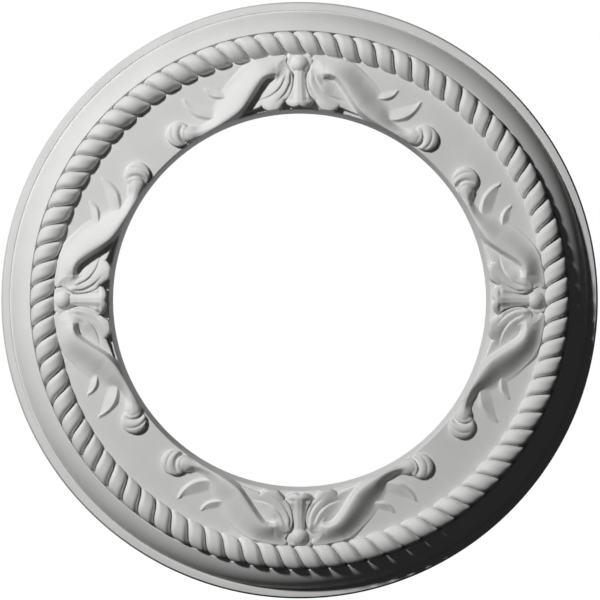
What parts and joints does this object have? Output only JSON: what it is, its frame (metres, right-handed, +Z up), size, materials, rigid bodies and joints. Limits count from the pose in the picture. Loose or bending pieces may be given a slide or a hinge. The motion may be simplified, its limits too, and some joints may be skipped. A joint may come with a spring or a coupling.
{
  "type": "ceiling rose",
  "caption": "Round ring of primed foam for the ceiling, with a rope moulding, mirrored acanthus leaves on a flat field and a wide central bore for a light fitting.",
  "frame": {"origin": "centre of the bore, in the plane of the flat back that lies on the ceiling", "axes": "+Z up into the ceiling, so the carved face looks down along -Z; +X and +Y each run through a round bud of the carving"},
  "size_m": [0.3048, 0.3048, 0.0258],
  "materials": {
    "primed_foam": "matte white factory primer on moulded high density polyurethane foam"
  },
  "bodies": {
    "root": {"ceiling_rose": "primed_foam"}
  },
  "joints": []
}
